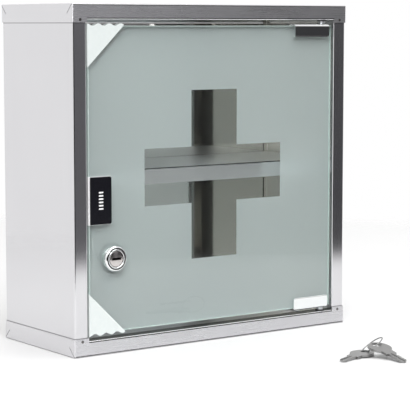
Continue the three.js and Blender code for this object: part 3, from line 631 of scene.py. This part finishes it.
for i in range(bezel_steps + 1):
    turn = i / bezel_steps * math.pi / 2
    barrel_profile.append((crown_radius + (bezel_radius - crown_radius) * math.cos(turn),
                           rim_y + (crown_y - rim_y) * math.sin(turn)))
barrel_profile += [
    (face_ring + groove_wall, groove_floor),
    (face_ring, groove_floor),
    (face_ring, face_y + ring_chamfer),
    (face_ring - ring_chamfer, face_y),
    (bore_radius + bore_chamfer, face_y),
    (bore_radius, face_y + bore_chamfer),
    (bore_radius, shank_end),
    (shank_radius - thread_depth, shank_end)]
for i in range(thread_turns):
    crest_y = shank_end - (i + 0.5) * thread_pitch
    barrel_profile += [(shank_radius, crest_y),
                       (shank_radius - thread_depth, crest_y - thread_pitch / 2)]
barrel_profile += [(shank_radius, shank_end - (thread_turns + 0.5) * thread_pitch),
                   (shank_radius, bezel_back)]
barrel_loops = [circle_y(lock_x, lock_z, radius, y, barrel_steps) for radius, y in barrel_profile]
barrel = lofted("lock_barrel_piece", barrel_loops, chrome, closed=True)
stand_for(barrel, "lock_barrel")
# Painted shade for the recesses of the lock: the groove round the bezel's face and the keyway.
recess_painted_shade = plain_finish("recess_painted_shade", (0.010, 0.009, 0.008), (0.022, 0.020, 0.018), 0.5, 500.0)
groove_front, groove_back = face_y + 0.0003, groove_floor + 0.0002
groove_inside, groove_outside = face_ring - close, face_ring + groove_wall + 0.0002
finish_faces(barrel, recess_painted_shade, lambda face: (
    groove_front < face.center.y < groove_back
    and groove_inside < math.hypot(face.center.x - lock_x, face.center.z - lock_z) < groove_outside))


def box_loop(half_width, half_height, y, steps=64):
    """Points spread evenly round a rectangle about the lock's axis."""
    corners = [(half_width, 0), (half_width, half_height), (-half_width, half_height),
               (-half_width, -half_height), (half_width, -half_height), (half_width, 0)]
    lengths = [math.dist(a, b) for a, b in zip(corners, corners[1:])]
    loop = []
    for i in range(steps):
        along, leg = i / steps * sum(lengths), 0
        while along > lengths[leg]:
            along -= lengths[leg]
            leg += 1
        (u0, v0), (u1, v1) = corners[leg], corners[leg + 1]
        share = along / lengths[leg]
        loop.append((lock_x + u0 + (u1 - u0) * share, y, lock_z + v0 + (v1 - v0) * share))
    return loop


plug_y, drive_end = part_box("lock_plug")[0].y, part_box("lock_plug")[1].y
plug_radius, plug_chamfer, dome_rise, dome_steps = 0.0069, 0.0003, 0.00045, 8
keyway_half, keyway_depth, keyway_lip = (0.0048, 0.00105), 0.009, 0.0003
drive_half, screw_bore, bore_depth = 0.0035, 0.0021, -0.0535
slot_edge = box_loop(*keyway_half, plug_y)
plug_edge = circle_y(lock_x, lock_z, plug_radius - plug_chamfer, plug_y)
plug_loops = [box_loop(*keyway_half, plug_y + keyway_depth)]
for i in range(dome_steps + 1):
    share = i / dome_steps
    ring = [[a + (b - a) * share for a, b in zip(inner, outer)]
            for inner, outer in zip(slot_edge, plug_edge)]
    for point in ring:
        outward = math.hypot(point[0] - lock_x, point[2] - lock_z) / plug_radius
        point[1] = plug_y + dome_rise * outward ** 2
    plug_loops.append(ring)
plug_loops += [
    circle_y(lock_x, lock_z, plug_radius, plug_y + dome_rise + plug_chamfer),
    circle_y(lock_x, lock_z, plug_radius, shank_end),
    box_loop(drive_half, drive_half, shank_end),
    box_loop(drive_half, drive_half, drive_end),
    circle_y(lock_x, lock_z, screw_bore, drive_end),
    circle_y(lock_x, lock_z, screw_bore, bore_depth)]
plug_nickel = plain_finish("plug_nickel", (0.58, 0.545, 0.53), (0.66, 0.625, 0.61), 0.16, 500.0, 1.0, 0.04)
plug = stand_for(lofted("lock_plug_piece", plug_loops, plug_nickel), "lock_plug")
# The walls of the keyway are painted dark as shade.
finish_faces(plug, recess_painted_shade, lambda face: (
    plug_y + keyway_lip < face.center.y < plug_y + keyway_depth + close
    and abs(face.center.x - lock_x) < keyway_half[0] + close
    and abs(face.center.z - lock_z) < keyway_half[1] + close))

for node, finish, slot, edge in (
    ("lock_gasket", rubber, "rubber", 0.0001),
    ("lock_washer", rubber, "rubber", 0.0001),
    ("lock_nut", zinc_plate, "zinc_plated_steel", 0.0003),
    ("lock_cam", zinc_plate, "zinc_plated_steel", 0.0002),
    ("cam_screw", zinc_plate, "zinc_plated_steel", 0.0001),
):
    finer_copy(node, node + "_piece", finish, edge)


# Touch latch: a housing of white moulded plastic on an angle of sheet, with a plunger that carries
# a magnet and a coil spring behind it. Two screws from below hold the housing to the angle.
latch_white = plain_finish("latch_white", (0.74, 0.75, 0.74), (0.82, 0.83, 0.82), 0.45, 300.0, 0.0, 0.05)
magnet_grey = plain_finish("magnet_grey", (0.22, 0.22, 0.23), (0.30, 0.30, 0.31), 0.35, 300.0, 1.0)
for node, finish, slot, edge in (
    ("latch_bracket", rolled_steel, "stainless_sheet", 0.0001),
    ("latch_housing", latch_white, "latch_plastic", 0.0003),
    ("latch_screw_1", zinc_plate, "zinc_plated_steel", 0.0001),
    ("latch_screw_2", zinc_plate, "zinc_plated_steel", 0.0001),
    ("latch_plunger", latch_white, "latch_plastic", 0.0002),
    ("latch_magnet", magnet_grey, "magnet", 0.0001),
):
    finer_copy(node, node + "_piece", finish, edge)

spring_low, spring_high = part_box("latch_spring")
wire_radius, wire_sides, spring_turns, steps_per_turn, press = 0.00035, 10, 6, 32, 0.003
coil_radius = (spring_high.z - spring_low.z) / 2 - wire_radius
coil_x, coil_z = -0.1225, (spring_low.z + spring_high.z) / 2
coil_start, coil_end = spring_low.y + wire_radius, spring_high.y - wire_radius
coil_loops = []
for i in range(spring_turns * steps_per_turn + 1):
    share = i / (spring_turns * steps_per_turn)
    turn = 2 * math.pi * spring_turns * share
    loop = []
    for j in range(wire_sides):
        lean = 2 * math.pi * j / wire_sides
        radius = coil_radius + wire_radius * math.cos(lean)
        y = coil_start + (coil_end - coil_start) * share + wire_radius * math.sin(lean)
        loop.append((coil_x + radius * math.cos(turn), y, coil_z + radius * math.sin(turn)))
    coil_loops.append(loop)
spring = stand_for(lofted("latch_spring_piece", coil_loops, zinc_plate), "latch_spring")
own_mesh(spring)


# Keys: two stamped and nickel plated keys with a milled groove, on a ring of bent wire whose ends
# meet. They lie loose in front of the cabinet.
key_nickel = plain_finish("key_nickel", (0.24, 0.24, 0.24), (0.34, 0.335, 0.33), 0.32, 500.0, 1.0, 0.05)
key_edge = 0.00015
for node in ("key_1", "key_2"):
    finer_copy(node, node + "_piece", key_nickel, key_edge)
ring_low, ring_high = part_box("key_ring")
ring_radius, ring_wire, ring_sides, ring_gap, ring_steps = 0.011, 0.00055, 16, 0.03, 96
ring_turn, ring_tilt = math.radians(-126), math.radians(36)
ring_place = (Matrix.Translation((ring_low + ring_high) / 2)
              @ Matrix.Rotation(ring_turn, 4, "Z") @ Matrix.Rotation(ring_tilt, 4, "X"))
ring_loops = []
for i in range(ring_steps + 1):
    turn = math.pi / 2 + ring_gap / 2 + (2 * math.pi - ring_gap) * i / ring_steps
    loop = []
    for j in range(ring_sides):
        lean = 2 * math.pi * j / ring_sides
        radius = ring_radius + ring_wire * math.cos(lean)
        point = Vector((radius * math.cos(turn), radius * math.sin(turn), ring_wire * math.sin(lean)))
        loop.append(ring_place @ point)
    ring_loops.append(loop)
stand_for(lofted("key_ring_piece", ring_loops, key_nickel), "key_ring")
